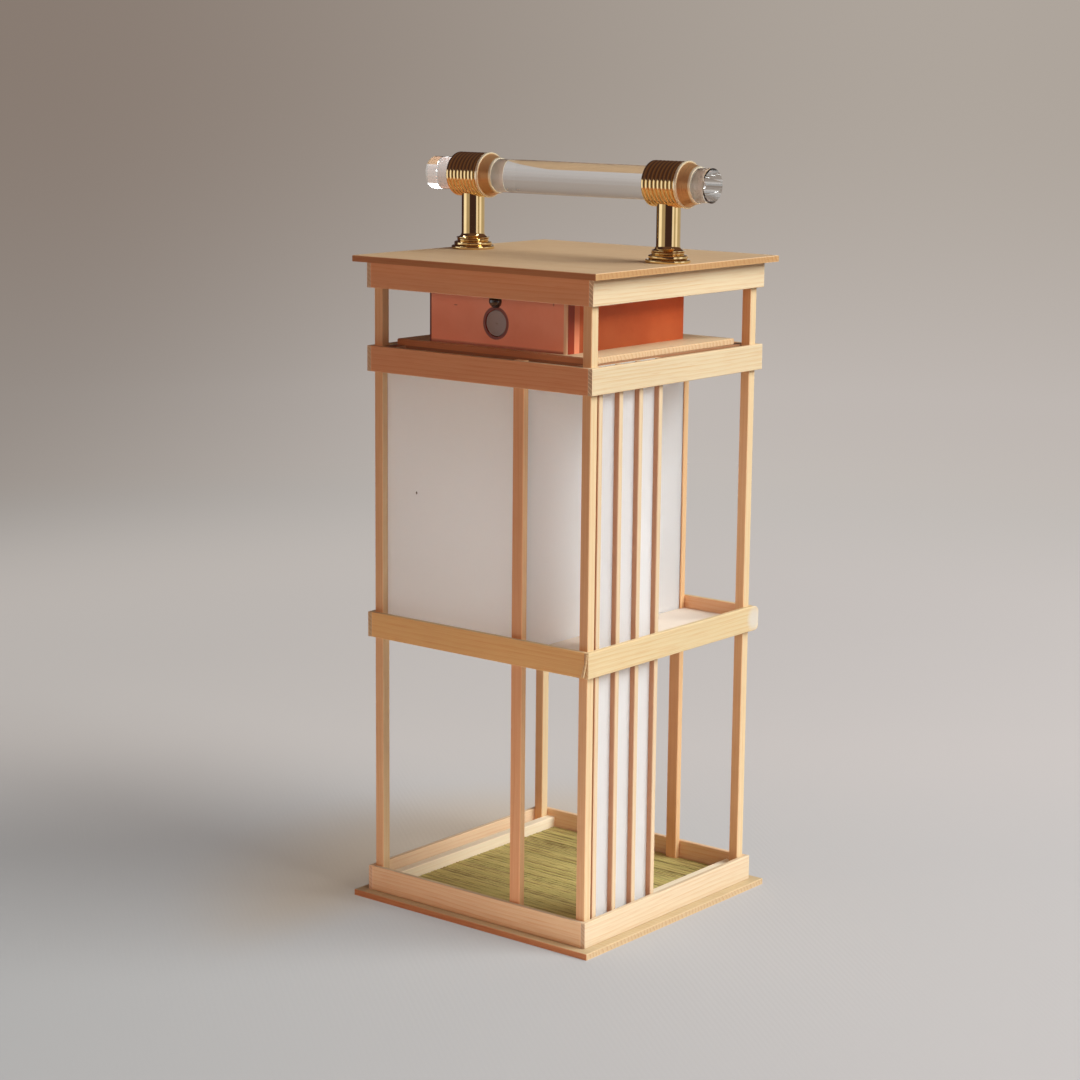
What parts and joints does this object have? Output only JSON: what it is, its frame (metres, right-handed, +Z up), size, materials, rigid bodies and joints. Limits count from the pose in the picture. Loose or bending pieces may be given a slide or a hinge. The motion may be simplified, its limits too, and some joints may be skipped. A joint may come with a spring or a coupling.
{
  "type": "table lantern",
  "caption": "Square wooden lantern with paper walls, a woven mat floor, a sliding lattice panel, a push-button light under the roof and a clear carrying rod on brass brackets.",
  "frame": {"origin": "on the ground at the middle of the base board", "axes": "+Z up, -Y is the front with the button, +X is the right side with the sliding lattice panel"},
  "size_m": [0.136, 0.1182, 0.2957],
  "materials": {
    "pale_wood": "planed, unvarnished",
    "white_paper": "matt, with faint fibres",
    "floor_sheet": "matt",
    "woven_rush": "woven, matt",
    "clear_acrylic": "polished, clear",
    "polished_brass": "polished",
    "orange_plastic": "satin",
    "diffuser_plastic": "opal",
    "board_laminate": "satin",
    "chip_resin": "clear coated",
    "cell_case": "brushed",
    "black_plastic": "matt",
    "grey_plastic": "translucent, satin",
    "black_lens": "polished",
    "steel": "plain"
  },
  "bodies": {
    "frame": {"bottom_strip_front": "pale_wood", "bottom_strip_back": "pale_wood", "bottom_strip_left": "pale_wood", "bottom_strip_right": "pale_wood", "middle_strip_front": "pale_wood", "middle_strip_back": "pale_wood", "middle_strip_left": "pale_wood", "middle_strip_right": "pale_wood", "shelf_strip_front": "pale_wood", "shelf_strip_back": "pale_wood", "shelf_strip_left": "pale_wood", "shelf_strip_right": "pale_wood", "top_strip_front": "pale_wood", "top_strip_back": "pale_wood", "top_strip_left": "pale_wood", "top_strip_right": "pale_wood", "corner_post_front_left": "pale_wood", "corner_post_front_right": "pale_wood", "corner_post_back_left": "pale_wood", "corner_post_back_right": "pale_wood", "mid_post_front": "pale_wood", "mid_post_back": "pale_wood", "floor_rail_left": "pale_wood", "floor_rail_right": "pale_wood", "middle_ledger_left": "pale_wood", "middle_ledger_right": "pale_wood", "shelf_ledger_left": "pale_wood", "shelf_ledger_right": "pale_wood", "base_board": "pale_wood", "shelf_board": "pale_wood", "top_board": "pale_wood", "paper_front": "white_paper", "paper_back": "white_paper", "paper_left": "white_paper", "paper_partition": "white_paper", "handle_rosette_left": "polished_brass", "handle_rosette_right": "polished_brass", "handle_stem_left": "polished_brass", "handle_stem_right": "polished_brass", "ribbed_collar_left": "polished_brass", "ribbed_collar_right": "polished_brass", "cone_nut_left": "polished_brass", "cone_nut_right": "polished_brass", "tatami_mat": "woven_rush", "middle_floor": "floor_sheet", "handle_rod": "clear_acrylic", "light_housing": "orange_plastic", "light_diffuser": "diffuser_plastic", "circuit_board": "board_laminate", "led_chips": "chip_resin", "battery_cell": "cell_case", "switch_body": "black_plastic", "sensor_dome": "black_lens", "collar_grub_screws": "steel", "mounting_screws": "steel"},
    "lattice_panel": {"lattice_slats": "pale_wood", "lattice_paper": "white_paper", "lattice_bottom_rail": "pale_wood", "lattice_top_rail": "pale_wood"},
    "push_button": {"push_button": "grey_plastic"}
  },
  "joints": [
    {"name": "lattice_slide", "type": "slide", "parent": "frame", "child": "lattice_panel", "axis": [0, 1, 0], "range_m": [-0.0012, 0.0567]},
    {"name": "button_press", "type": "slide", "parent": "frame", "child": "push_button", "axis": [0, 1, 0], "range_m": [0, 0.0015], "stiffness_N_per_m": 300, "springref_m": -0.001}
  ]
}
